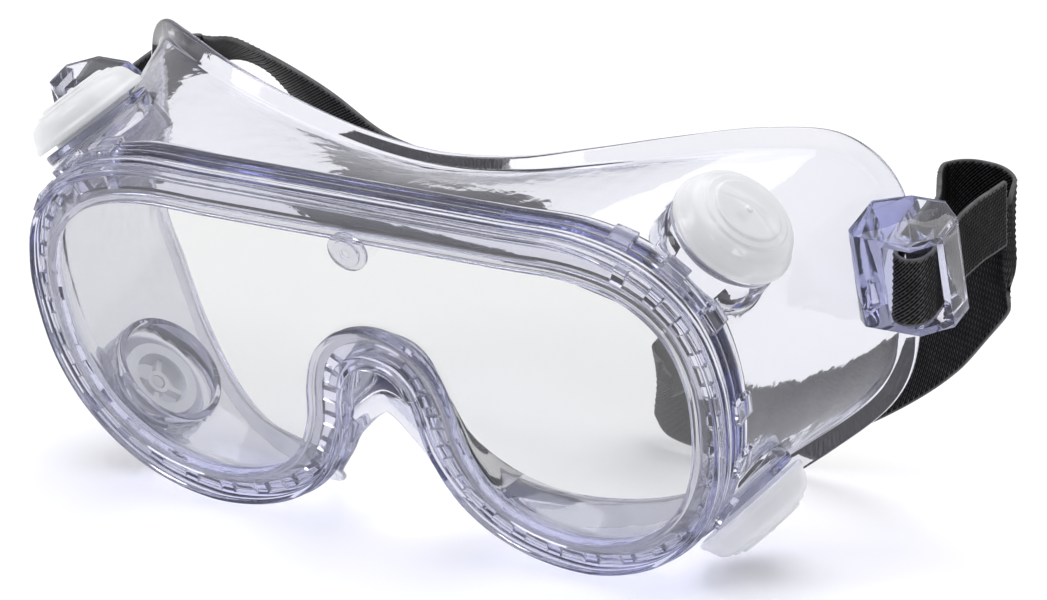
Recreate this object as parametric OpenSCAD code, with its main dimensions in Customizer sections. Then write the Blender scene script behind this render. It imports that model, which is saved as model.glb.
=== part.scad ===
// Indirect-vent splash goggles: a soft clear frame holds a flat clear lens in a
// channel, four round vents plug into bosses on the frame, and one flat rubber
// head strap threads through a three-bar lug at each temple.
// The goggles stand on the rim's two lobes and on the cheek edge of the frame.
// +Z is up, the lens faces -Y, and X runs across the face.

/* [Lens] */
// Half the width of the clear opening
eye_half_w = 73; // [71:0.5:74]
// Height of the opening's top edge above the lens centre
eye_top = 32; // [31:0.5:33]
// Forward lean of the top of the lens, in degrees
lens_tilt = 16.4; // [15:0.2:18]
// Thickness of the lens
lens_t = 1.2; // [1:0.1:1.4]
// How far the lens edge reaches into its channel
lens_bite = 3; // [2.4:0.1:3.4]

/* [Rim] */
// Width of the front lip along the top edge
lip_top = 8.2; // [7.6:0.1:8.6]
// Width of the front lip at the sides
lip_side = 6.4; // [6:0.1:7]
// Width of the front lip under each eye
lip_low = 7.9; // [7.6:0.1:8.2]
// Width of the front lip round the nose
lip_nose = 8.4; // [8:0.1:8.8]
// Thickness of the front lip
lip_t = 1.8; // [1.4:0.1:2]
// Depth of the rim from front to back
rim_depth = 11; // [10:0.5:12]
// Thickness of the rim's outer wall
rim_wall = 2; // [1.6:0.1:2.2]

/* [Frame skin] */
// Thickness of the soft skin between the rim and the face
skin_t = 1.6; // [1.2:0.1:1.8]
// Width of the sealing edge that turns out against the face
seal_w = 4.2; // [3.6:0.1:4.4]

/* [Vents] */
// Radius of the cap's lower rim
cap_r = 13.4; // [13:0.1:13.6]
// Height of the cap above its seat
cap_h = 8; // [7:0.5:9]
// Radius of the hole through each boss
vent_bore_r = 7.2; // [7:0.1:7.6]

/* [Strap] */
// Width of the rubber strap
strap_w = 14; // [13:0.5:14.5]
// Thickness of the rubber strap
strap_t = 1.4; // [1.2:0.1:1.5]
// Width of each slot in a lug
slot_w = 2.2; // [2.1:0.1:2.3]
// Width of the bar that the strap wraps round
bar_w = 5.4; // [5:0.1:5.6]

/* [Hidden] */

// Colours
clear_pvc = [0.78, 0.80, 0.92, 0.55];
clear_pc = [0.86, 0.90, 0.93, 0.35];
milky_ldpe = [0.93, 0.94, 0.95, 0.95];
black_rubber = [0.06, 0.06, 0.07];

// The lens centre, measured from the middle of the surface that the goggles stand on
lens_centre = [0, -41.98, 39.53];

// ---------- Curves ----------

// A Catmull-Rom point at t between p1 and p2
function spline_point(p0, p1, p2, p3, t) =
    0.5 * (2 * p1 + (p2 - p0) * t + (2 * p0 - 5 * p1 + 4 * p2 - p3) * t * t
           + (3 * p1 - p0 - 3 * p2 + p3) * t * t * t);

// A closed spline through all keys, with n points for each key
function closed_spline(keys, n) =
    [for (i = [0 : len(keys) - 1]) for (j = [0 : n - 1])
        spline_point(keys[(i + len(keys) - 1) % len(keys)], keys[i],
                     keys[(i + 1) % len(keys)], keys[(i + 2) % len(keys)], j / n)];

// An open spline through all keys
function open_spline(keys, n) =
    let (last = len(keys) - 1)
    [for (i = [0 : last]) for (j = [0 : (i < last ? n - 1 : 0)])
        spline_point(keys[max(i - 1, 0)], keys[i], keys[min(i + 1, last)],
                     keys[min(i + 2, last)], j / n)];

// The right half of an outline, from top centre round to the nose, and its mirror image
function both_halves(half) =
    concat(half, [for (i = [len(half) - 2 : -1 : 1]) mirrored_point(half[i])]);
function mirrored_point(p) = len(p) == 2 ? [-p.x, p.y] : [-p.x, p.y, p.z];

function unit(v) = v / norm(v);

// Outward normal of a clockwise closed outline at point i
function outward(ring, i) =
    let (n = len(ring), d = ring[(i + 1) % n] - ring[(i + n - 1) % n])
    unit([-d.y, d.x]);

// Key numbers run 0 at top centre to last_key at the nose, then back up the other side
last_key = 18;
key_n = 3;
fine_n = 5;
function key_of(i, n) = let (k = i / n) k > last_key ? 2 * last_key - k : k;

// ---------- The lens opening ----------

corner_r = 23.7;
eye_keys = [[0, eye_top], [17, eye_top], [34, eye_top], [eye_half_w - corner_r, eye_top],
            [61, eye_top - 3], [69, 22], [eye_half_w - 0.3, 12], [eye_half_w, 1], [71, -11],
            [65.5, -22], [56, -29.8], [44, -33], [32, -31.3], [23, -25.5], [18, -16],
            [16.3, -6], [13.5, 2], [8, 7.6], [0, 9.7]];
eye_ring = closed_spline(both_halves(eye_keys), fine_n);

// Width of the front lip at each key
function lip_w(k) = lookup(k, [[0, lip_top], [3, lip_top], [6, lip_side], [9, lip_side],
                               [11, lip_low], [13, lip_low], [15, lip_nose], [18, lip_nose]]);

// The opening grown outwards by a share of the lip's width plus a fixed distance
function grown(share, extra) =
    [for (i = [0 : len(eye_ring) - 1])
        eye_ring[i] + outward(eye_ring, i) * (share * lip_w(key_of(i, fine_n)) + extra)];

// ---------- Placing ----------

module in_goggles() {
    translate(lens_centre) children();
}

// Lens axes: X across, Y back through the lens, Z up along it
module in_lens_frame() {
    in_goggles() rotate([lens_tilt, 0, 0]) children();
}

// Extrudes a flat outline from depth y0 back to depth y1 in the lens axes
module slab(y0, y1) {
    rotate([90, 0, 0]) translate([0, 0, -y1]) linear_extrude(y1 - y0) children();
}

function lens_to_goggles(p) =
    [p.x, p.y * cos(lens_tilt) - p.z * sin(lens_tilt),
     p.y * sin(lens_tilt) + p.z * cos(lens_tilt)];

// ---------- Rim ----------

// Depths behind the front of the rim
lens_front = lip_t + 0.1;
lens_back = lens_front + lens_t;
shelf_front = lens_back + 0.1;
shelf_back = shelf_front + 1.6;
rib_depths = [2.6, 5.6, 8.6];
rib_h = 0.8;
rib_t = 1.1;

module rim_band(y0, y1, out) {
    slab(y0, y1) difference() {
        polygon(grown(1, out));
        polygon(grown(1, -rim_wall));
    }
}

module lens_rim() {
    color(clear_pvc) in_lens_frame() {
        slab(0, lip_t) difference() {
            polygon(grown(1, 0));
            polygon(grown(0, 0));
        }
        rim_band(lip_t, rim_depth, 0);
        slab(shelf_front, shelf_back) difference() {
            polygon(grown(1, -rim_wall + 0.4));
            polygon(grown(0, 0.8));
        }
        for (y = rib_depths) rim_band(y, y + rib_t, rib_h);
    }
}

// A small block standing on the outline at ring point i
module on_ring(i, out) {
    p = eye_ring[i] + outward(eye_ring, i) * out;
    n = outward(eye_ring, i);
    translate([p.x, 0, p.y]) rotate([0, -atan2(n.y, n.x), 0]) children();
}

cleat_w = 2.4;
cleat_gap = 0.3;
cleat_points = [for (i = [4 : 3 : len(eye_ring) - 4]) if (key_of(i, fine_n) < 16.5
                    && key_of(i, fine_n) > 3.2) i];

// Blocks between the lens edge and the rim's wall, which centre the lens in its channel
module rim_cleats() {
    color(clear_pvc) in_lens_frame() for (i = cleat_points) {
        reach = lip_w(key_of(i, fine_n)) - rim_wall - lens_bite - cleat_gap;
        on_ring(i, lens_bite + cleat_gap)
            translate([0, lip_t, -cleat_w / 2]) cube([reach, shelf_front - lip_t, cleat_w]);
    }
}

// Keys at which a square tab bridges the outside of the rim
tab_keys = [3.6, 4.4, 5.2, 6.8, 7.8, 8.8];
tab_w = 4.6;
tab_h = 1.9;
tab_depths = [5, 10.5];

module tab_pair(k) {
    i = round(k * fine_n);
    for (j = [i, len(eye_ring) - i])
        on_ring(j, lip_w(k))
            translate([rib_h, tab_depths[0], -tab_w / 2])
                cube([tab_h - rib_h, tab_depths[1] - tab_depths[0], tab_w]);
}

module rim_tabs() {
    color(clear_pvc) in_lens_frame() for (k = tab_keys) tab_pair(k);
}

stud_r = 4.4;
stud_drop = 1.4;
stud_t = 1.6;
dimple_r = 1.1;

// Moulded button on the front lip above the nose
module centre_stud() {
    color(clear_pvc) in_lens_frame() translate([0, 0, eye_top + lip_top / 2 - 4.4 - stud_drop])
        rotate([90, 0, 0]) difference() {
            union() {
                cylinder(h = stud_t / 2, r = stud_r, $fn = 48);
                cylinder(h = stud_t, r = stud_r * 0.68, $fn = 48);
            }
            translate([0, 0, stud_t - 0.7]) cylinder(h = 1, r = dimple_r, $fn = 32);
        }
}

nose_lip_t = 0.9;
nose_lip_keys = [15.4, 18];

// Raised crescent on the front lip over the nose
module nose_lip() {
    first = round(nose_lip_keys[0] * fine_n);
    span = [for (i = [first : 2 * last_key * fine_n - first]) i];
    outer = [for (i = span) eye_ring[i] + outward(eye_ring, i) * (lip_nose - 0.1)];
    inner = [for (j = [len(span) - 1 : -1 : 0])
                eye_ring[span[j]] + outward(eye_ring, span[j]) * (lip_nose - 3)];
    color(clear_pvc) in_lens_frame() slab(-nose_lip_t, 0) polygon(concat(outer, inner));
}

module lens() {
    color(clear_pc) in_lens_frame() slab(lens_front, lens_back) polygon(grown(0, lens_bite));
}

// ---------- Face skirt ----------

// The line where the skin meets the sealing edge, from the brow round to the nose
face_keys = [[0, 26, 36.5], [18.5, 26.5, 38], [37, 26.5, 42.5], [53, 30, 46], [67.5, 38.5, 47.5],
             [79, 50, 45.5], [85.5, 58.5, 36], [88, 62, 20], [88.5, 62.5, 4], [83.5, 62.5, -9],
             [72.5, 54, -19], [59, 45, -28.5], [45, 38, -33.8], [31, 32.5, -35.5],
             [21.5, 20.5, -31], [17, 11.5, -26], [12.5, 8, -20.5], [8, 6, -14], [0, 5, -8]];
face_ring = closed_spline(both_halves(face_keys), key_n);
ring_n = len(face_ring);

// The rim's rear outline in the goggles' axes, with the same number of points
coarse_eye = closed_spline(both_halves(eye_keys), key_n);
root_inset = 0.5;
root_y = rim_depth - 1.2;
function root_point(i, inset) =
    let (p = coarse_eye[i] + outward(coarse_eye, i) * (lip_w(key_of(i, key_n)) - inset))
    lens_to_goggles([p.x, root_y, p.y]);

function flat(p) = [p.x, p.z];
flat_face = [for (p = face_ring) flat(p)];
function face_out(i) = let (n = outward(flat_face, i)) [n.x, 0, n.y];

// How far the skin runs straight back before it turns towards the face
back_pull = lens_to_goggles([0, 12, 0]);
function nose_share(i) = lookup(key_of(i, key_n), [[0, 0.5], [3, 1], [12, 1], [14.5, 0.35], [18, 0.1]]);

// Quadratic blend from the rim to the face line
function skin_point(i, s, inset) =
    let (a = root_point(i, root_inset + inset),
         c = face_ring[i] - face_out(i) * inset,
         b = a + back_pull * nose_share(i) + (c - a) * 0.15)
    a * (1 - s) * (1 - s) + b * 2 * s * (1 - s) + c * s * s;

seal_back = 1.2;
seal_t = 1.4;
function seal_share(i) = lookup(key_of(i, key_n), [[0, 0.7], [4, 1], [6, 0.75], [8, 0.75], [10, 1],
                                                  [13, 0.95], [15, 0.8], [18, 0.6]]);
function seal_edge(i, y) = face_ring[i] + face_out(i) * seal_w * seal_share(i)
                           + [0, seal_back + y, 0];

skin_steps = 5;
// One closed profile for each point of the outline: out along the skin, round the sealing
// edge and back along the inside
function skin_profile(i) =
    concat([for (s = [0 : skin_steps]) skin_point(i, s / skin_steps, 0)],
           [seal_edge(i, 0), seal_edge(i, seal_t)],
           [skin_point(i, 1, skin_t) + [0, seal_t, 0]],
           [for (s = [skin_steps - 1 : -1 : 0]) skin_point(i, s / skin_steps, skin_t)]);

profile_n = 2 * skin_steps + 4;

module skin_solid() {
    points = [for (i = [0 : ring_n - 1]) each skin_profile(i)];
    faces = [for (i = [0 : ring_n - 1]) for (j = [0 : profile_n - 1])
                let (a = i * profile_n + j, b = i * profile_n + (j + 1) % profile_n,
                     c = ((i + 1) % ring_n) * profile_n + (j + 1) % profile_n,
                     d = ((i + 1) % ring_n) * profile_n + j)
                each [[a, b, c], [a, c, d]]];
    polyhedron(points, faces);
}

// ---------- Vents ----------

// Seat centres and outward axes on the right side: upper, then lower
vent_at = [[73.7, 14, 37.9], [70, 30, -24]];
vent_axis = [[0.62, -0.12, 0.775], [0.697, 0.103, -0.708]];

module at_vent(row, side) {
    a = vent_axis[row];
    in_goggles() mirror([side < 0 ? 1 : 0, 0, 0]) translate(vent_at[row])
        rotate([0, acos(a.z / norm(a)), atan2(a.y, a.x)]) children();
}

boss_r = 12.6;
boss_wall = 1.5;
// Depth of a boss behind its pad: upper, then lower
boss_h = [10.5, 7];
pad_t = 1.8;

module vent_boss(row, side) {
    color(clear_pvc) at_vent(row, side) rotate_extrude($fn = 72)
        polygon([[vent_bore_r, -pad_t], [boss_r - boss_wall, -pad_t],
                 [boss_r - boss_wall, -boss_h[row]], [boss_r, -boss_h[row]], [boss_r, -0.6],
                 [boss_r - 0.6, 0], [vent_bore_r, 0]]);
}

seat_wall = 1.1;
seat_gap = 0.05;
hub_r = 2.6;
stem_r = 1.5;
stem_gap = 0.06;
spoke_n = 4;
spoke_w = 1.2;

module vent_seat() {
    outer = vent_bore_r - seat_gap;
    color(milky_ldpe) {
        rotate_extrude($fn = 60) polygon([[outer - seat_wall, -3.4], [outer + 1.4, -3.4],
            [outer + 1.4, -2.5], [outer, -pad_t - 0.1], [outer, 0.1], [outer + 2, 0.1],
            [outer + 2, 0.9], [outer - seat_wall, 0.9]]);
        difference() {
            union() {
                translate([0, 0, -2]) cylinder(h = 2.6, r = hub_r, $fn = 40);
                for (k = [0 : spoke_n - 1]) rotate([0, 0, k * 360 / spoke_n + 45])
                    translate([0, -spoke_w / 2, -1.6])
                        cube([outer - seat_wall + 0.3, spoke_w, 1.8]);
            }
            translate([0, 0, -3]) cylinder(h = 6, r = stem_r + stem_gap, $fn = 40);
        }
    }
}

cap_wall = 1.1;

// Stepped dome with a stem that snaps into the seat's hub
module vent_cap() {
    top = cap_h;
    color(milky_ldpe) rotate_extrude($fn = 96) polygon([
        [0, -1.7], [stem_r - 0.4, -1.7], [stem_r, -1.2], [stem_r, top - 2.2],
        [6.2, top - 2], [8.4, top - 2.6], [10.2, top - 3.4], [11.1, top - 4.6], [11.5, 2.6],
        [cap_r - 1.2, 1.3], [cap_r - 1, 0.9], [cap_r, 0.9], [cap_r, 2], [cap_r - 0.6, 2.5],
        [12.7, 2.8], [12.4, top - 4], [11.6, top - 2.4], [10.4, top - 1.6], [9.4, top - 1.3],
        [9.1, top - 0.8], [7.6, top - 0.6], [7.4, top - 0.1], [6.8, top], [0.9, top],
        [0.6, top + 0.4], [0, top + 0.4]]);
}

module face_skirt() {
    color(clear_pvc) difference() {
        in_goggles() skin_solid();
        for (side = [1, -1]) for (row = [0, 1])
            at_vent(row, side) translate([0, 0, -22]) cylinder(h = 40, r = boss_r, $fn = 72);
    }
}

// ---------- Strap lugs ----------

// Middle of the right lug's bar
bar_at = [98.4, 50, 22.8];
lug_h = 22;
lug_plate = 1.7;
outer_wall_t = 1.8;
// Across the lug from the bar's middle: the slots' inner and outer sides
slot_side = bar_w / 2 + slot_w;
wall_side = slot_side + outer_wall_t;
// Front, bar, and rear depths from the bar's middle
lug_front = -6;
bar_nose = -0.5;
bar_back = 2.5;
wall_front = -1;
wall_back = 6;
lug_rear = 11;
// The root starts inside the skin
root_front = [-10.8, lug_front];
root_rear = [-13, 7];
root_side = [-13, -4];
rear_shoulder = [-6, lug_rear];
// The plates' corners beside the outer slot
plate_u = 1.5;
plate_shoulder = -2.5;

// The lug's section between its two plates: root block, bar and outer wall
module lug_middle() {
    polygon([root_front, [-slot_side, lug_front], [-slot_side, lug_rear], rear_shoulder,
             root_rear, root_side]);
    translate([-bar_w / 2, bar_nose]) square([bar_w, bar_back - bar_nose]);
    translate([0, bar_nose]) circle(r = bar_w / 2, $fn = 40);
    translate([slot_side, wall_front]) square([outer_wall_t, wall_back - wall_front]);
}

module lug() {
    plate = [root_front, [plate_u, lug_front], [slot_side, plate_shoulder],
             [wall_side, wall_front], [wall_side, wall_back], [plate_u, lug_rear],
             rear_shoulder, root_rear, root_side];
    translate(bar_at) rotate([lens_tilt, 0, 0]) translate([0, 0, -lug_h / 2]) {
        linear_extrude(lug_h) lug_middle();
        for (z = [0, lug_h - lug_plate]) translate([0, 0, z]) linear_extrude(lug_plate)
            polygon(plate);
    }
}

module strap_lug_right() {
    color(clear_pvc) in_goggles() lug();
}

module strap_lug_left() {
    color(clear_pvc) in_goggles() mirror([1, 0, 0]) lug();
}

// ---------- Head strap ----------

// Each key of the strap's route is a point in the goggles' axes and a lean in degrees
slot_mid = slot_side - slot_w / 2;
loop_n = -3.2;
function by_lug(side, u, n) =
    [side * (bar_at.x + u), bar_at.y + n * cos(lens_tilt), bar_at.z + n * sin(lens_tilt), 0];
function bar_loop(side, a0, a1) =
    [for (k = [0 : 4]) let (a = a0 + (a1 - a0) * k / 4)
        by_lug(side, slot_mid * cos(a), loop_n - slot_mid * sin(a))];
strap_keys = concat(
    [[-101, 70, 17, 0], [-102, 66, 20.5, 0]],
    [for (n = [12, 6, 0]) by_lug(-1, slot_mid, n)], bar_loop(-1, 0, 180),
    [for (n = [0, 6, 12]) by_lug(-1, -slot_mid, n)],
    [[-93.5, 72, 28.5, 0], [-94.5, 80, 28.5, 10], [-93, 86.5, 29.5, 35], [-88.5, 89, 31, 55],
     [-82, 89, 31, 50], [-74.5, 87, 29, 40], [-66, 84, 26, 25], [-55.5, 80, 22, 8],
     [-41.5, 75, 17, 0], [-27, 70, 16, 0], [-13, 66, 15, 0], [1, 62, 13.5, 0], [14, 60, 11, 0],
     [25.5, 60, 8.5, 0], [35, 62, 5.5, 0], [40, 66, 1, 0], [39.5, 72, -5, 0], [34.5, 78, -12, 0],
     [27, 84, -18, 0], [21, 88.5, -22.5, 0], [18.5, 90.5, -25.5, 0], [19, 89.5, -28, 0],
     [23.5, 86.5, -30, 0], [32.5, 84.5, -30.5, 0], [42.5, 85, -29.5, 0], [55, 86, -26, 0],
     [66, 86.5, -20.5, 0], [78, 85.5, -12.5, 0], [88, 84, -4, 0], [95.5, 82.5, 5, 0],
     [101.5, 81, 13, 0], [103.4, 80, 20, 0], [103.7, 81.5, 25, 0], [102, 84.5, 27, 0],
     [98, 86.5, 28, 0], [92.5, 86, 28.5, 0], [89, 83, 28.5, 0], [89, 78, 28.5, 0]],
    [for (n = [16, 11, 6, 0]) by_lug(1, -slot_mid, n)], bar_loop(1, 180, 0),
    [for (n = [0, 6, 11]) by_lug(1, slot_mid, n)],
    [[103, 67, 27.5, 0], [103.5, 72, 28, 0], [104, 77, 28.5, 0]]);
strap_n = 2;
strap_path = open_spline(strap_keys, strap_n);
// How far the width turns to stay square to a climbing route, from 0 to 1
square_share = 0.55;

function path_point(i) = let (p = strap_path[i]) [p.x, p.y, p.z];

// Four corners of the strap's section at point i: its width stays nearly upright
function strap_section(i) =
    let (last = len(strap_path) - 1,
         along = unit(path_point(min(i + 1, last)) - path_point(max(i - 1, 0))),
         up = unit([0, 0, 1] - along * along.z * square_share),
         across = unit(cross(along, up)),
         lean = strap_path[i][3],
         half = (up * cos(lean) + across * sin(lean)) * strap_w / 2,
         side = (across * cos(lean) - up * sin(lean)) * strap_t / 2,
         p = path_point(i))
    [p - side - half, p + side - half, p + side + half, p - side + half];

module head_strap() {
    rings = len(strap_path);
    points = [for (i = [0 : rings - 1]) each strap_section(i)];
    walls = [for (i = [0 : rings - 2]) for (j = [0 : 3])
                let (a = i * 4 + j, b = i * 4 + (j + 1) % 4)
                each [[a, b, b + 4], [a, b + 4, a + 4]]];
    end = (rings - 1) * 4;
    caps = [[3, 2, 1], [3, 1, 0], [end, end + 1, end + 2], [end, end + 2, end + 3]];
    color(black_rubber) in_goggles() polyhedron(points, concat(walls, caps));
}

module vent_boss_upper_right() { vent_boss(0, 1); }
module vent_boss_upper_left() { vent_boss(0, -1); }
module vent_boss_lower_right() { vent_boss(1, 1); }
module vent_boss_lower_left() { vent_boss(1, -1); }
module vent_seat_upper_right() { at_vent(0, 1) vent_seat(); }
module vent_seat_upper_left() { at_vent(0, -1) vent_seat(); }
module vent_seat_lower_right() { at_vent(1, 1) vent_seat(); }
module vent_seat_lower_left() { at_vent(1, -1) vent_seat(); }
module vent_cap_upper_right() { at_vent(0, 1) vent_cap(); }
module vent_cap_upper_left() { at_vent(0, -1) vent_cap(); }
module vent_cap_lower_right() { at_vent(1, 1) vent_cap(); }
module vent_cap_lower_left() { at_vent(1, -1) vent_cap(); }

lens_rim();
rim_cleats();
rim_tabs();
centre_stud();
nose_lip();
lens();
face_skirt();
strap_lug_right();
strap_lug_left();
vent_boss_upper_right();
vent_boss_upper_left();
vent_boss_lower_right();
vent_boss_lower_left();
vent_seat_upper_right();
vent_seat_upper_left();
vent_seat_lower_right();
vent_seat_lower_left();
vent_cap_upper_right();
vent_cap_upper_left();
vent_cap_lower_right();
vent_cap_lower_left();
head_strap();
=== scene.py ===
"""The looks of the splash goggles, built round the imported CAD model.

Lengths are in millimetres in the goggles' own axes, whose origin is the centre of the lens
opening, and become metres in the frame when a mesh is made. X runs across the face, Y back
towards the face and Z up. u, n and v are the lens's own axes: across it, back through it, up it.
"""
import bpy
import bmesh
import math
import numpy as np
from mathutils import Matrix, Vector


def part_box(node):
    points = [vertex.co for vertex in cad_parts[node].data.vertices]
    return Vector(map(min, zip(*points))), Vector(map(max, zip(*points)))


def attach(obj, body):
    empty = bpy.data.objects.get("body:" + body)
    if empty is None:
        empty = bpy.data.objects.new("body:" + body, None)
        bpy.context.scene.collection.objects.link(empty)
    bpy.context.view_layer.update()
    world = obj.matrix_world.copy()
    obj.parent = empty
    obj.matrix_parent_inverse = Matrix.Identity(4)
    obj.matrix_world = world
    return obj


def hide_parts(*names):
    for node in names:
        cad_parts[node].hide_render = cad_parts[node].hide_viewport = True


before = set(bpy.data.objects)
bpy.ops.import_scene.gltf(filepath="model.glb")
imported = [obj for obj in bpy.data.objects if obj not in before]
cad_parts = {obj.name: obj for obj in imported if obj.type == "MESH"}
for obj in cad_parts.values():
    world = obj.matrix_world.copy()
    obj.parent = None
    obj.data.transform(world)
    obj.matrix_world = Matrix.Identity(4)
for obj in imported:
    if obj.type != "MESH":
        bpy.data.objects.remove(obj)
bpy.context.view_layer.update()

MM = 0.001
CORNERS = ["upper_right", "upper_left", "lower_right", "lower_left"]

# ---------- Driving sizes ----------

LENS_TILT = math.radians(16.4)
EYE_TOP = 32.0  # the opening's top edge, above its centre
LENS_BITE = 3.0  # how far the lens reaches past the opening's edge
LENS_T = 1.2
LENS_PLAY = 0.1  # the gap on each side of the lens in its channel
LIP_T = 1.8
LIP_GROOVE = 0.35
LENS_FRONT = LIP_T + LENS_PLAY
LENS_BACK = LENS_FRONT + LENS_T
SHELF_T = 1.6
RIM_DEPTH = 11.0
RIM_WALL = 2.0
RIB_DEPTHS = [2.6, 5.6, 8.6]
RIB_H = 0.8
RIB_T = 1.1
SKIN_T = 1.6
SKIN_STEPS = 14
SKIN_ROOT = RIM_DEPTH - 1.2  # where the skin leaves the rim's wall
SKIN_PULL = 12  # how far behind the rim the middle of the skin's curve is aimed
SEAL_W = 3.95
SEAL_T = 1.4
SEAL_BACK = 1.2

# Right halves of two outlines, from top centre round to the nose: the lens opening as u, v, and
# the face edge as x, y, z. Both have the same number of keys, so that a section joins each pair.

EYE_KEYS = [[0, 32], [17, 32], [34, 32], [49.3, 32], [61, 29], [69, 22], [72.7, 12], [73, 1],
            [71, -11], [65.5, -22], [56, -29.8], [44, -33], [32, -31.3], [23, -25.5], [18, -16],
            [16.3, -6], [13.5, 2], [8, 7.6], [0, 9.7]]
FACE_KEYS = [[0, 26, 36.5], [18.5, 26.5, 38], [37, 26.5, 42.5], [53, 30, 46], [67.5, 38.5, 47.5],
             [79, 50, 45.5], [85.5, 58.5, 36], [88, 62, 20], [88.5, 62.5, 4], [83.5, 62.5, -9],
             [72.5, 54, -19], [59, 45, -28.5], [45, 38, -33.8], [31, 32.5, -35.5],
             [21.5, 20.5, -31], [17, 11.5, -26], [12.5, 8, -20.5], [8, 6, -14], [0, 5, -8]]
LAST_KEY = 18
PER_KEY = 14  # points from each key to the next

# ---------- Placing ----------


def lens_to_goggles(p):
    """Points given in the lens's own axes, turned into the goggles' axes."""
    p = np.asarray(p, float)
    c, s = math.cos(LENS_TILT), math.sin(LENS_TILT)
    return np.stack([p[..., 0], p[..., 1] * c - p[..., 2] * s, p[..., 1] * s + p[..., 2] * c], -1)


def lens_centre():
    """The opening's centre in the frame, in mm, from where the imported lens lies."""
    low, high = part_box("lens")
    edge = EYE_TOP + LENS_BITE
    front_top = lens_to_goggles([0, LENS_FRONT, edge])
    back_top = lens_to_goggles([0, LENS_BACK, edge])
    return np.array([0, low.y / MM - front_top[1], high.z / MM - back_top[2]])


LENS_CENTRE = lens_centre()


def to_frame(p):
    """Points in the goggles' axes, turned into the frame's metres."""
    return (np.asarray(p, float) + LENS_CENTRE) * MM


# ---------- Curves ----------


def spline(keys, n, closed):
    """A Catmull-Rom curve through the keys, with n points from each key to the next."""
    keys = np.array(keys, float)
    count = len(keys)
    t = np.arange(n)[:, None] / n
    spans = []
    for i in range(count if closed else count - 1):
        near = [(i + j) % count if closed else min(max(i + j, 0), count - 1) for j in (-1, 0, 1, 2)]
        a, b, c, d = keys[near]
        spans.append(0.5 * (2 * b + (c - a) * t + (2 * a - 5 * b + 4 * c - d) * t ** 2
                            + (3 * b - a - 3 * c + d) * t ** 3))
    if not closed:
        spans.append(keys[-1:])
    return np.concatenate(spans)


def both_halves(half):
    """The right half of an outline, and its mirror image without the two shared keys."""
    half = np.array(half, float)
    back = half[-2:0:-1].copy()
    back[:, 0] *= -1
    return np.concatenate([half, back])


def outward(ring):
    """Outward normals of a clockwise closed outline."""
    d = np.roll(ring, -1, 0) - np.roll(ring, 1, 0)
    n = np.stack([-d[:, 1], d[:, 0]], 1)
    return n / np.linalg.norm(n, axis=1, keepdims=True)


def by_key(keys, values):
    """A quantity along the outline: it runs between values set at some key numbers."""
    return np.interp(RING_KEY, keys, values)


EYE_RING = spline(both_halves(EYE_KEYS), PER_KEY, True)
EYE_OUT = outward(EYE_RING)
FACE_RING = spline(both_halves(FACE_KEYS), PER_KEY, True)
FACE_OUT = np.insert(outward(FACE_RING[:, [0, 2]]), 1, 0, axis=1)
RING_KEY = np.arange(len(EYE_RING)) / PER_KEY
RING_KEY = np.where(RING_KEY > LAST_KEY, 2 * LAST_KEY - RING_KEY, RING_KEY)
LIP_W = by_key([3, 6, 9, 11, 13, 15], [8.2, 6.4, 6.4, 7.9, 7.9, 8.4])

# ---------- Mesh helpers ----------


def round_corners(points, radii, steps=3):
    """Rounds each corner of closed sections, given as an array of sections by points by axes.
    A corner with a radius of 0 stays one point."""
    before, after = np.roll(points, 1, 1), np.roll(points, -1, 1)
    out = []
    for j, radius in enumerate(radii):
        corner = points[:, j]
        if not radius:
            out.append(corner)
            continue
        arms = []
        for other in (before[:, j], after[:, j]):
            arm = other - corner
            size = np.linalg.norm(arm, axis=1, keepdims=True) + 1e-9
            arms.append(corner + arm / size * np.minimum(radius, 0.45 * size))
        for k in range(steps + 1):
            t = k / steps
            out.append(arms[0] * (1 - t) ** 2 + corner * 2 * t * (1 - t) + arms[1] * t ** 2)
    return np.stack(out, 1)


def make_object(name, points, faces):
    """A mesh object from points in the goggles' axes, with its faces turned outwards."""
    mesh = bpy.data.meshes.new(name)
    mesh.from_pydata(to_frame(points).tolist(), [], faces)
    made = bpy.data.objects.new(name, mesh)
    bpy.context.scene.collection.objects.link(made)
    tidy_mesh(made)
    return made


def tidy_mesh(obj, weld=0.002):
    """Welds coincident points and turns all faces outwards."""
    bm = bmesh.new()
    bm.from_mesh(obj.data)
    bmesh.ops.remove_doubles(bm, verts=bm.verts, dist=weld * MM)
    bmesh.ops.recalc_face_normals(bm, faces=bm.faces)
    bm.to_mesh(obj.data)
    bm.free()


def islands(bm):
    """The mesh's pieces as lists of faces, parted at each edge that doesn't join just two."""
    seen = set()
    for start in bm.faces:
        if start in seen:
            continue
        island, queue = [], [start]
        seen.add(start)
        while queue:
            face = queue.pop()
            island.append(face)
            for edge in face.edges:
                if len(edge.link_faces) != 2:
                    continue
                for other in edge.link_faces:
                    if other not in seen:
                        seen.add(other)
                        queue.append(other)
        yield island


def island_volume(island):
    """The volume inside a piece in cubic mm, negative for an enclosed air pocket."""
    corners = [[v.co for v in face.verts] for face in island]
    return sum(a.dot(b.cross(c)) for a, b, c in corners) / 6 / MM ** 3


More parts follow.
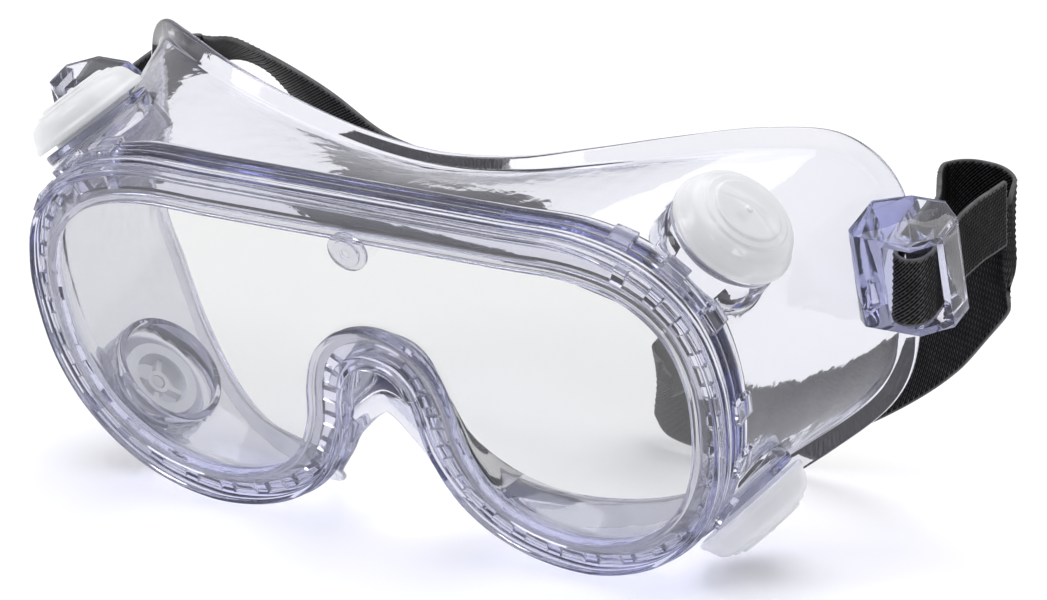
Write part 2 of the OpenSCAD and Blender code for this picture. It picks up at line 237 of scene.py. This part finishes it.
def drop_slivers(obj, weld=0.005, least=60, least_volume=5.0):
    """Welds the needle faces that a join leaves, drops crumbs and enclosed air pockets, and
    shuts holes of up to 8 edges."""
    bm = bmesh.new()
    bm.from_mesh(obj.data)
    bmesh.ops.triangulate(bm, faces=bm.faces)
    bmesh.ops.remove_doubles(bm, verts=bm.verts, dist=weld * MM)
    bmesh.ops.dissolve_degenerate(bm, edges=bm.edges, dist=weld * MM)
    bmesh.ops.triangulate(bm, faces=bm.faces)
    crumbs = []
    for island in islands(bm):
        if len(island) < least or island_volume(island) < least_volume:
            crumbs += island
    bmesh.ops.delete(bm, geom=crumbs, context="FACES")
    bmesh.ops.holes_fill(bm, edges=[e for e in bm.edges if e.is_boundary], sides=8)
    bm.to_mesh(obj.data)
    bm.free()


def sweep_faces(rings, across, closed):
    """Quads of a closed section carried along rings, with its two ends shut where it is open."""
    faces = []
    for i in range(rings if closed else rings - 1):
        here, there = i * across, (i + 1) % rings * across
        for j in range(across):
            k = (j + 1) % across
            faces.append([here + j, here + k, there + k, there + j])
    if not closed:
        faces.append(list(range(across)))
        faces.append([(rings - 1) * across + j for j in reversed(range(across))])
    return faces


def swept(name, sections, closed=True):
    """An object from sections given as an array of rings by points by axes."""
    rings, across = sections.shape[:2]
    return make_object(name, sections.reshape(-1, 3), sweep_faces(rings, across, closed))


def turned(name, profile, place, sides=96, closed=True):
    """A turned shape. The profile has a radius, a height and a corner radius at each point."""
    profile = np.array(profile, float)
    flat = round_corners(profile[None, :, :2], profile[:, 2])[0]
    angle = np.arange(sides) / sides * 2 * math.pi
    ring = np.stack([np.outer(np.cos(angle), flat[:, 0]), np.outer(np.sin(angle), flat[:, 0]),
                     np.tile(flat[:, 1], (sides, 1))], -1)
    points = place(ring.reshape(-1, 3))
    return make_object(name, points, sweep_faces(sides, len(flat), True))


def apply_modifiers(obj):
    """Bakes an object's modifiers into its mesh."""
    deps = bpy.context.evaluated_depsgraph_get()
    mesh = bpy.data.meshes.new_from_object(obj.evaluated_get(deps))
    obj.modifiers.clear()
    obj.data = mesh


def combine(obj, others, operation):
    """Joins the others to obj, or cuts them out of it, one after another."""
    for other in others:
        modifier = obj.modifiers.new("combine", "BOOLEAN")
        modifier.operation = operation
        modifier.solver = "MANIFOLD"
        modifier.object = other
        apply_modifiers(obj)
        bpy.data.objects.remove(other)


def cad_copy(node, bevel, grow=0.0, flat=1.5, sharp=35):
    """A copy of a CAD node as a new object, with its edges rounded. A little growth sinks it
    into the walls that it only touches in the CAD model. Faces within the flat angle, in
    degrees, become one, and edges past the sharp angle are the ones rounded."""
    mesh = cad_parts[node].data.copy()
    mesh.materials.clear()
    made = bpy.data.objects.new("copy_" + node, mesh)
    bpy.context.scene.collection.objects.link(made)
    tidy_mesh(made)
    bm = bmesh.new()
    bm.from_mesh(mesh)
    bmesh.ops.dissolve_limit(bm, angle_limit=math.radians(flat), verts=bm.verts, edges=bm.edges)
    bm.normal_update()
    for vert in bm.verts:
        vert.co += vert.normal * grow * MM
    bm.to_mesh(mesh)
    bm.free()
    modifier = made.modifiers.new("round", "BEVEL")
    modifier.width = bevel * MM
    modifier.segments = 3
    modifier.limit_method = "ANGLE"
    modifier.angle_limit = math.radians(sharp)
    apply_modifiers(made)
    tidy_mesh(made)
    return made


def smooth(obj, degrees=32):
    """Shades an object smooth, but for edges sharper than this."""
    for face in obj.data.polygons:
        face.use_smooth = True
    obj.data.set_sharp_from_angle(angle=math.radians(degrees))


# ---------- Vents ----------

VENT_AT = {"upper": [73.7, 14, 37.9], "lower": [70, 30, -24]}
VENT_AXIS = {"upper": [0.62, -0.12, 0.775], "lower": [0.697, 0.103, -0.708]}
BOSS_R = 12.6
BOSS_WALL = 1.5
BOSS_H = {"upper": 10.5, "lower": 7}
PAD_T = 1.8
VENT_BORE_R = 7.2
CAP_R = 13.4
CAP_H = 8
CAP_SKIRT_R = 11.5
STEM_R = 1.5
STEM_END = -1.7
CUT_R = BOSS_R - 0.5
CUT_CORE_R = 0.5
CUT_LOW = -22
CUT_HIGH = 18


def at_vent(corner):
    """A function that carries points from a vent's own axes to the goggles' axes."""
    row, side = corner.split("_")
    axis = Vector(VENT_AXIS[row]).normalized()
    turn = Matrix.Rotation(math.atan2(axis.y, axis.x), 3, "Z") @ Matrix.Rotation(
        math.acos(axis.z), 3, "Y")
    flip = np.array([-1 if side == "left" else 1, 1, 1])
    return lambda p: (np.asarray(p, float) @ np.array(turn).T + VENT_AT[row]) * flip


def vent_boss(corner):
    """The short tube that a vent plugs into, with the bored pad at its outer end."""
    depth = BOSS_H[corner.split("_")[0]]
    inner = BOSS_R - BOSS_WALL
    return turned("boss_" + corner, [
        [VENT_BORE_R, -PAD_T, 0.3], [inner, -PAD_T, 0.6], [inner, -depth, 0.5],
        [BOSS_R, -depth, 0.5], [BOSS_R, 0, 0.7], [VENT_BORE_R, 0, 0.4]], at_vent(corner))


def vent_cutter(corner):
    """What clears a boss's hole through the skin. Its core leaves a crumb, dropped later."""
    return turned("cutter_" + corner, [[CUT_CORE_R, CUT_LOW, 0], [CUT_R, CUT_LOW, 0],
                                       [CUT_R, CUT_HIGH, 0], [CUT_CORE_R, CUT_HIGH, 0]],
                  at_vent(corner))


def vent_cap(corner):
    """The milky stepped dome, with its nipple, its steps and the stem that snaps in the seat."""
    top = CAP_H
    return turned("shield_cap_" + corner, [
        [0, STEM_END, 0], [STEM_R, STEM_END, 0.4], [STEM_R, top - 2.2, 0.6],
        [6.2, top - 2, 0.5], [8.4, top - 2.6, 0.5], [10.2, top - 3.4, 0.6],
        [11.1, top - 4.6, 0.8], [CAP_SKIRT_R, 2.6, 0.7],
        [CAP_R - 1.2, 1.3, 0.3], [CAP_R - 1, 0.9, 0.1], [CAP_R, 0.9, 0.3], [CAP_R, 2, 0.4],
        [12.8, 2.7, 0.4], [12.4, top - 4, 0.8], [11.6, top - 2.4, 0.7], [10.4, top - 1.6, 0.5],
        [9.4, top - 1.3, 0.3], [9.1, top - 0.8, 0.25], [7.6, top - 0.6, 0.3],
        [7.4, top - 0.1, 0.25], [6.8, top, 0.3], [0.9, top, 0.3], [0.6, top + 0.4, 0.2],
        [0, top + 0.4, 0]], at_vent(corner), sides=128)


# ---------- The frame moulding ----------


def at_rim(offset, depth):
    """Points on the rim's outline, moved out from the opening and back from its front."""
    p = EYE_RING + EYE_OUT * np.reshape(offset, (-1, 1))
    return lens_to_goggles(np.stack([p[:, 0], np.broadcast_to(depth, len(p)), p[:, 1]], 1))


def rim_ring():
    """Front lip with its groove, ribbed outer wall, and the shelf behind the lens. Each corner
    of the section has an offset from the opening, a depth and a corner radius."""
    zero = np.zeros(len(EYE_RING))
    wall_in = LIP_W - RIM_WALL
    corners = [(zero, 0.0, 0.3), (zero + 1.1, 0.0, 0.25), (zero + 1.5, LIP_GROOVE, 0.25),
               (LIP_W - 1.4, LIP_GROOVE, 0.3), (LIP_W - 0.9, 0.0, 0.25), (LIP_W, 0.0, 0.6)]
    for depth in RIB_DEPTHS:
        corners += [(LIP_W, depth, 0.25), (LIP_W + RIB_H, depth, 0.25),
                    (LIP_W + RIB_H, depth + RIB_T, 0.25), (LIP_W, depth + RIB_T, 0.25)]
    shelf_front = LENS_BACK + LENS_PLAY
    shelf_back = shelf_front + SHELF_T
    corners += [(LIP_W, RIM_DEPTH, 0.6), (wall_in, RIM_DEPTH, 0.6), (wall_in, shelf_back, 0.5),
                (zero + 0.8, shelf_back, 0.5), (zero + 0.8, shelf_front, 0.3),
                (wall_in, shelf_front, 0.2), (wall_in, LIP_T, 0.2), (zero, LIP_T, 0.3)]
    sections = np.stack([at_rim(offset, depth) for offset, depth, _ in corners], 1)
    return swept("clear_frame", round_corners(sections, [r for _, _, r in corners]))


def skin_ring():
    """The soft skin from the rim back to the face, with its turned-out sealing edge."""
    back_pull = lens_to_goggles([0, SKIN_PULL, 0])
    share = by_key([0, 3, 12, 14.5, 18], [0.5, 1, 1, 0.35, 0.1])[:, None]
    seal = by_key([0, 4, 6, 8, 10, 13, 15, 18], [0.7, 1, 0.75, 0.75, 1, 0.95, 0.8, 0.6])[:, None]

    def skin_point(s, inset):
        """The skin's outer face, or its inner one, at a share s of the way to the face."""
        a = at_rim(LIP_W - 0.5 - inset, SKIN_ROOT)
        c = FACE_RING - FACE_OUT * inset
        b = a + back_pull * share + (c - a) * 0.15
        return a * (1 - s) ** 2 + b * 2 * s * (1 - s) + c * s ** 2

    edge = FACE_RING + FACE_OUT * SEAL_W * seal + np.array([0, SEAL_BACK, 0])
    thick = np.array([0, SEAL_T, 0])
    points = [(skin_point(k / SKIN_STEPS, 0), 0) for k in range(SKIN_STEPS)]
    points += [(skin_point(1, 0), 0.8), (edge, 0.55), (edge + thick, 0.55),
               (skin_point(1, SKIN_T) + thick, 0.9)]
    points += [(skin_point(k / SKIN_STEPS, SKIN_T), 0) for k in reversed(range(SKIN_STEPS))]
    sections = np.stack([p for p, _ in points], 1)
    return swept("skin", round_corners(sections, [r for _, r in points]))


def clear_frame():
    """The whole soft frame as the one moulding that it is."""
    skin = skin_ring()
    combine(skin, [vent_cutter(c) for c in CORNERS], "DIFFERENCE")
    whole = rim_ring()
    parts = [skin]
    parts += [vent_boss(c) for c in CORNERS]
    parts += [cad_copy("strap_lug_" + side, 0.5) for side in ("right", "left")]
    parts += [cad_copy("rim_tabs", 0.3, 0.35), cad_copy("centre_stud", 0.25, 0.1)]
    parts += [cad_copy("nose_lip", 0.25, 0.1), cad_copy("rim_cleats", 0.2, 0.4)]
    combine(whole, parts, "UNION")
    drop_slivers(whole)
    smooth(whole)
    return whole


# ---------- Head strap ----------

STRAP_W = 14.0
STRAP_T = 1.4
BAR_AT = [98.4, 50, 22.8]
SLOT_MID = 3.8  # from the bar's middle to the middle of each slot
LOOP_N = -3.2  # where the turn round the bar's front is centred
SQUARE_SHARE = 0.55  # 1 sets the band's width square to its route, 0 keeps it upright
KNURL_STEP = 0.4
KNURL_H = 0.24
GRAIN_MARGIN = 0.25
FLANK = STRAP_T / 2 - KNURL_H  # half the band's thickness between the grain's tips
CUT_EDGE = FLANK * 0.8


def by_lug(side, u, n):
    """A point of the strap's route beside a lug's bar, with no lean."""
    return [side * (BAR_AT[0] + u), BAR_AT[1] + n * math.cos(LENS_TILT),
            BAR_AT[2] + n * math.sin(LENS_TILT), 0]


def bar_loop(side, start, end):
    """The strap's turn round the front of a lug's bar."""
    turn = [math.radians(start + (end - start) * k / 4) for k in range(5)]
    return [by_lug(side, SLOT_MID * math.cos(a), LOOP_N - SLOT_MID * math.sin(a)) for a in turn]


def strap_keys():
    """The strap's route from its left free end to its right one, with a lean in degrees."""
    return ([[-101, 70, 17, 0], [-102, 66, 20.5, 0]] +
            [by_lug(-1, SLOT_MID, n) for n in (12, 6, 0)] + bar_loop(-1, 0, 180) +
            [by_lug(-1, -SLOT_MID, n) for n in (0, 6, 12)] +
            [[-93.5, 72, 28.5, 0], [-94.5, 80, 28.5, 10], [-93, 86.5, 29.5, 35],
             [-88.5, 89, 31, 55], [-82, 89, 31, 50], [-74.5, 87, 29, 40], [-66, 84, 26, 25],
             [-55.5, 80, 22, 8], [-41.5, 75, 17, 0], [-27, 70, 16, 0], [-13, 66, 15, 0],
             [1, 62, 13.5, 0], [14, 60, 11, 0], [25.5, 60, 8.5, 0], [35, 62, 5.5, 0],
             [40, 66, 1, 0], [39.5, 72, -5, 0], [34.5, 78, -12, 0], [27, 84, -18, 0],
             [21, 88.5, -22.5, 0], [18.5, 90.5, -25.5, 0], [19, 89.5, -28, 0],
             [23.5, 86.5, -30, 0], [32.5, 84.5, -30.5, 0], [42.5, 85, -29.5, 0],
             [55, 86, -26, 0], [66, 86.5, -20.5, 0], [78, 85.5, -12.5, 0], [88, 84, -4, 0],
             [95.5, 82.5, 5, 0], [101.5, 81, 13, 0], [103.3, 80, 20, 0], [103.5, 81.5, 25, 0],
             [102, 84.5, 27, 0], [98, 86.5, 28, 0], [92.5, 86, 28.5, 0], [89, 83, 28.5, 0],
             [89, 78, 28.5, 0]] +
            [by_lug(1, -SLOT_MID, n) for n in (16, 11, 6, 0)] + bar_loop(1, 180, 0) +
            [by_lug(1, SLOT_MID, n) for n in (0, 6, 11)] +
            [[103, 67, 27.5, 0], [103.5, 72, 28, 0], [104, 77, 28.5, 0]])


def even_path(keys, step):
    """The route's curve, with points a step apart."""
    fine = spline(keys, 24, False)
    gaps = np.linalg.norm(np.diff(fine[:, :3], axis=0), axis=1)
    length = np.concatenate([[0], np.cumsum(gaps)])
    at = np.linspace(0, length[-1], int(length[-1] / step) + 1)
    return np.stack([np.interp(at, length, column) for column in fine.T], 1)


def unit_rows(rows):
    return rows / np.linalg.norm(rows, axis=1, keepdims=True)


def strap_axes(path, lean):
    """The directions of the band's width and thickness at each point of its path. The width is
    only partly square to the path, so the band is narrower where the path is steep."""
    along = unit_rows(np.gradient(path, axis=0))
    up = unit_rows(np.array([0, 0, 1.0]) - along * along[:, 2:] * SQUARE_SHARE)
    across = unit_rows(np.cross(along, up))
    return (up * np.cos(lean) + across * np.sin(lean),
            across * np.cos(lean) - up * np.sin(lean))


def pressed_grain(rings, columns):
    """Half the band's thickness over a face: staggered tips, with none on its two edges."""
    ring = np.arange(rings)[:, None]
    column = np.arange(columns)[None, :]
    inside = (column > 0) & (column < columns - 1)
    tip = (ring % 2 == 0) & ((column - ring) % 4 == 0) & inside
    return FLANK + np.where(tip, KNURL_H, 0.0)


def head_strap():
    """A flat band with a pressed diamond grain on both faces and plain cut edges."""
    route = even_path(strap_keys(), KNURL_STEP)
    path = route[:, :3]
    up, side = strap_axes(path, np.radians(route[:, 3:]))
    columns = int(STRAP_W / KNURL_STEP) + 1
    half_grain = STRAP_W / 2 - GRAIN_MARGIN
    height = np.linspace(-half_grain, half_grain, columns)
    middle = path[:, None] + up[:, None] * height[None, :, None]
    relief = side[:, None] * pressed_grain(len(path), columns)[..., None]
    edge = up * (STRAP_W / 2)
    cut = side * CUT_EDGE
    top = np.stack([path + edge + cut, path + edge - cut], 1)
    low = np.stack([path - edge - cut, path - edge + cut], 1)
    sections = np.concatenate([middle + relief, top, (middle - relief)[:, ::-1], low], 1)
    strap = swept("rubber_strap", sections, closed=False)
    smooth(strap, 50)
    return strap


# ---------- Materials ----------


def new_material(name):
    """A new material, its node tree, its main shader and its output node."""
    material = bpy.data.materials.new(name)
    material.use_nodes = True
    nodes = material.node_tree.nodes
    return material, material.node_tree, nodes["Principled BSDF"], nodes["Material Output"]


def feed(tree, node, inputs):
    """Sets a node's inputs, each given as a value or as a socket to link."""
    for name, value in inputs.items():
        if isinstance(value, bpy.types.NodeSocket):
            tree.links.new(value, node.inputs[name])
        else:
            node.inputs[name].default_value = value


def add(tree, kind, inputs=(), **settings):
    """Adds a node, with its settings and its inputs."""
    made = tree.nodes.new(kind)
    for name, value in settings.items():
        setattr(made, name, value)
    feed(tree, made, dict(inputs))
    return made


def noise(tree, scale, detail=3.0, roughness=0.5, distortion=0.0):
    """Noise in the object's own space, where the scale counts waves in a metre."""
    place = add(tree, "ShaderNodeTexCoord").outputs["Object"]
    return add(tree, "ShaderNodeTexNoise", {"Vector": place, "Scale": scale, "Detail": detail,
                                            "Roughness": roughness,
                                            "Distortion": distortion}).outputs["Fac"]


def spread(tree, value, low, high):
    """Carries a 0 to 1 value to the range from low to high."""
    return add(tree, "ShaderNodeMapRange", {"Value": value, "To Min": low,
                                            "To Max": high}).outputs["Result"]


def bump(tree, height, distance, strength=1.0, under=None):
    """Bumps with a height in mm, on top of those under them."""
    inputs = {"Height": height, "Distance": distance * MM, "Strength": strength}
    if under is not None:
        inputs["Normal"] = under
    return add(tree, "ShaderNodeBump", inputs).outputs["Normal"]


def let_lamps_through(tree, surface, output, tint):
    """Lets lamps shine through clear plastic, so that it throws only a faint shadow."""
    path = add(tree, "ShaderNodeLightPath").outputs["Is Shadow Ray"]
    thin = add(tree, "ShaderNodeBsdfTransparent", {"Color": tint}).outputs["BSDF"]
    mix = add(tree, "ShaderNodeMixShader", {0: path, 1: surface, 2: thin})
    tree.links.new(mix.outputs["Shader"], output.inputs["Surface"])


def clear_vinyl():
    """Soft clear vinyl: slightly wavy moulded skin, violet where the light crosses much of it."""
    material, tree, surface, output = new_material("clear_vinyl")
    haze = noise(tree, 420, 4)
    waves = bump(tree, noise(tree, 55, 2), 0.35)
    pull = bump(tree, noise(tree, 240, 3, distortion=0.6), 0.035, under=waves)
    feed(tree, surface, {"Base Color": (0.82, 0.82, 0.845, 1), "Transmission Weight": 0.96,
                         "IOR": 1.38, "Roughness": spread(tree, haze, 0.0, 0.05),
                         "Normal": pull})
    absorb = add(tree, "ShaderNodeVolumeAbsorption", {"Color": (0.30, 0.33, 0.72, 1),
                                                      "Density": 50.0})
    tree.links.new(absorb.outputs["Volume"], output.inputs["Volume"])
    let_lamps_through(tree, surface.outputs["BSDF"], output, (0.9, 0.9, 0.94, 1))
    return material


def clear_lens():
    """Hard polished polycarbonate with faint wipe marks."""
    material, tree, surface, output = new_material("clear_polycarbonate")
    marks = noise(tree, 160, 5, 0.6, 1.5)
    feed(tree, surface, {"Base Color": (0.72, 0.725, 0.725, 1), "Transmission Weight": 1.0,
                         "IOR": 1.58, "Roughness": spread(tree, marks, 0.0, 0.02),
                         "Normal": bump(tree, noise(tree, 18, 1), 0.04)})
    let_lamps_through(tree, surface.outputs["BSDF"], output, (0.96, 0.965, 0.965, 1))
    return material


def milky_vent():
    """Milky polyethylene, which lets a little of what is behind it show."""
    material, tree, surface, output = new_material("milky_polyethylene")
    cloud = noise(tree, 130, 3)
    tint = add(tree, "ShaderNodeMix", {0: cloud, 6: (0.78, 0.79, 0.81, 1),
                                       7: (0.90, 0.905, 0.92, 1)}, data_type="RGBA")
    feed(tree, surface, {"Base Color": tint.outputs[2], "IOR": 1.51,
                         "Subsurface Weight": 0.15, "Subsurface Radius": (1.0, 1.0, 1.0),
                         "Subsurface Scale": 0.0012,
                         "Roughness": spread(tree, noise(tree, 700, 3), 0.16, 0.28),
                         "Normal": bump(tree, noise(tree, 900, 4), 0.02)})
    clear = add(tree, "ShaderNodeBsdfTransparent", {"Color": (0.97, 0.97, 0.98, 1)})
    rim = add(tree, "ShaderNodeLayerWeight", {"Blend": 0.35}).outputs["Facing"]
    solid = spread(tree, rim, 0.55, 0.98)
    mix = add(tree, "ShaderNodeMixShader", {0: solid, 1: clear.outputs["BSDF"],
                                            2: surface.outputs["BSDF"]})
    tree.links.new(mix.outputs["Shader"], output.inputs["Surface"])
    return material


def black_rubber():
    """Matt black rubber, with the tips of its grain painted lighter grey in patches: partly dust,
    partly painted glints.
    """
    material, tree, surface, output = new_material("black_rubber")
    patches = noise(tree, 320, 6, 0.65)
    # The grain's tips are painted lighter grey in noise patches. This is partly dust and partly a
    # painted glint where the tips catch the light.
    tips = add(tree, "ShaderNodeNewGeometry").outputs["Pointiness"]
    painted_glint_tips = add(tree, "ShaderNodeMapRange", {"Value": tips, "From Min": 0.503, "From Max": 0.54})
    dust_and_painted_glint = add(tree, "ShaderNodeMath", {0: painted_glint_tips.outputs["Result"], 1: patches},
                 operation="MULTIPLY").outputs["Value"]
    tint = add(tree, "ShaderNodeMix", {0: dust_and_painted_glint, 6: (0.0015, 0.0015, 0.002, 1),
                                       7: (0.16, 0.16, 0.165, 1)}, data_type="RGBA")
    feed(tree, surface, {"Base Color": tint.outputs[2], "IOR": 1.5,
                         "Specular IOR Level": spread(tree, dust_and_painted_glint, 0.05, 0.6),
                         "Roughness": spread(tree, noise(tree, 900, 3), 0.42, 0.66),
                         "Normal": bump(tree, noise(tree, 2600, 4), 0.03)})
    return material


def dress(obj, material):
    """Gives an object one material, in place of any that it has."""
    obj.data.materials.clear()
    obj.data.materials.append(material)


# ---------- Putting the goggles together ----------

vinyl = clear_vinyl()
vent_plastic = milky_vent()

moulding = clear_frame()
dress(moulding, vinyl)
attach(moulding, "goggles_frame")
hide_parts("lens_rim", "rim_cleats", "rim_tabs", "centre_stud", "nose_lip",
            "face_skirt", "strap_lug_right", "strap_lug_left",
            *["vent_boss_" + c for c in CORNERS])

dress(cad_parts["lens"], clear_lens())

for corner in CORNERS:
    dress(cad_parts["vent_seat_" + corner], vent_plastic)
    shield = vent_cap(corner)
    smooth(shield, 40)
    dress(shield, vent_plastic)
    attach(shield, "cap_" + corner)
    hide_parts("vent_cap_" + corner)

band = head_strap()
dress(band, black_rubber())
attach(band, "strap")
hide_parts("head_strap")

# ---------- Floor, light and camera ----------

FLOOR_HALF = 6.0
SKY_STOPS = [(0.0, 1.0), (0.25, 1.0), (0.45, 0.8), (0.75, 0.7), (1.0, 0.7)]
SKY_BLUE = 1.01
SKY_STRENGTH = 0.62
CAMERA_BACK = Vector((0.4575, -0.8254, 0.3308))
CAMERA_FAR = 1.5
CAMERA_LENS = 255.8
AIM_RIGHT = 0.0308
AIM_UP = 0.0149


def pale_floor():
    """A plain pale sheet that the goggles stand on."""
    size = FLOOR_HALF
    mesh = bpy.data.meshes.new("floor")
    corners = [(-size, -size, 0), (size, -size, 0), (size, size, 0), (-size, size, 0)]
    mesh.from_pydata(corners, [], [(0, 1, 2, 3)])
    floor = bpy.data.objects.new("floor", mesh)
    bpy.context.scene.collection.objects.link(floor)
    material, tree, surface, _ = new_material("pale_floor")
    feed(tree, surface, {"Base Color": (0.96, 0.96, 0.96, 1), "Roughness": 0.9})
    dress(floor, material)


def studio_sky():
    """Bright up to a quarter of the way overhead and less so above, which darkens clear edges."""
    world = bpy.data.worlds.new("studio")
    bpy.context.scene.world = world
    world.use_nodes = True
    tree = world.node_tree
    direction = add(tree, "ShaderNodeTexCoord").outputs["Generated"]
    height = add(tree, "ShaderNodeSeparateXYZ", {0: direction}).outputs["Z"]
    ramp = add(tree, "ShaderNodeValToRGB", {"Fac": height})
    elements = ramp.color_ramp.elements
    for place, _ in SKY_STOPS[1:-1]:
        elements.new(place)
    for element, (place, level) in zip(elements, SKY_STOPS):
        element.position = place
        element.color = (level, level, level * SKY_BLUE, 1)
    feed(tree, tree.nodes["Background"], {"Color": ramp.outputs["Color"],
                                          "Strength": SKY_STRENGTH})


def soft_box(name, at, size, watts, towards):
    """A rectangular lamp at one point that shines towards another."""
    lamp = bpy.data.lights.new(name, "AREA")
    lamp.shape = "RECTANGLE"
    lamp.size, lamp.size_y = size
    lamp.energy = watts
    box = bpy.data.objects.new(name, lamp)
    bpy.context.scene.collection.objects.link(box)
    box.location = at
    box.rotation_euler = (Vector(towards) - Vector(at)).to_track_quat("-Z", "Y").to_euler()


def camera():
    """Above and to the wearer's left of the front, far off, with a long lens."""
    back = CAMERA_BACK.normalized()
    right = Vector((0, 0, 1)).cross(back).normalized()
    up = back.cross(right)
    aim = Vector(to_frame([0, 0, 0])) + right * AIM_RIGHT + up * AIM_UP
    data = bpy.data.cameras.new("camera")
    data.lens = CAMERA_LENS
    data.clip_end = 50
    made = bpy.data.objects.new("camera", data)
    bpy.context.scene.collection.objects.link(made)
    made.location = aim + back * CAMERA_FAR
    made.rotation_euler = back.to_track_quat("Z", "Y").to_euler()
    bpy.context.scene.camera = made


pale_floor()
studio_sky()
soft_box("top_box", at=(0.1, 0.2, 1.3), size=(1.6, 1.2), watts=15, towards=(0, 0, 0))
soft_box("key_box", at=(-0.9, -0.8, 0.9), size=(0.5, 0.8), watts=6, towards=(0, 0, 0.04))
camera()
bpy.context.scene.view_settings.view_transform = "Standard"
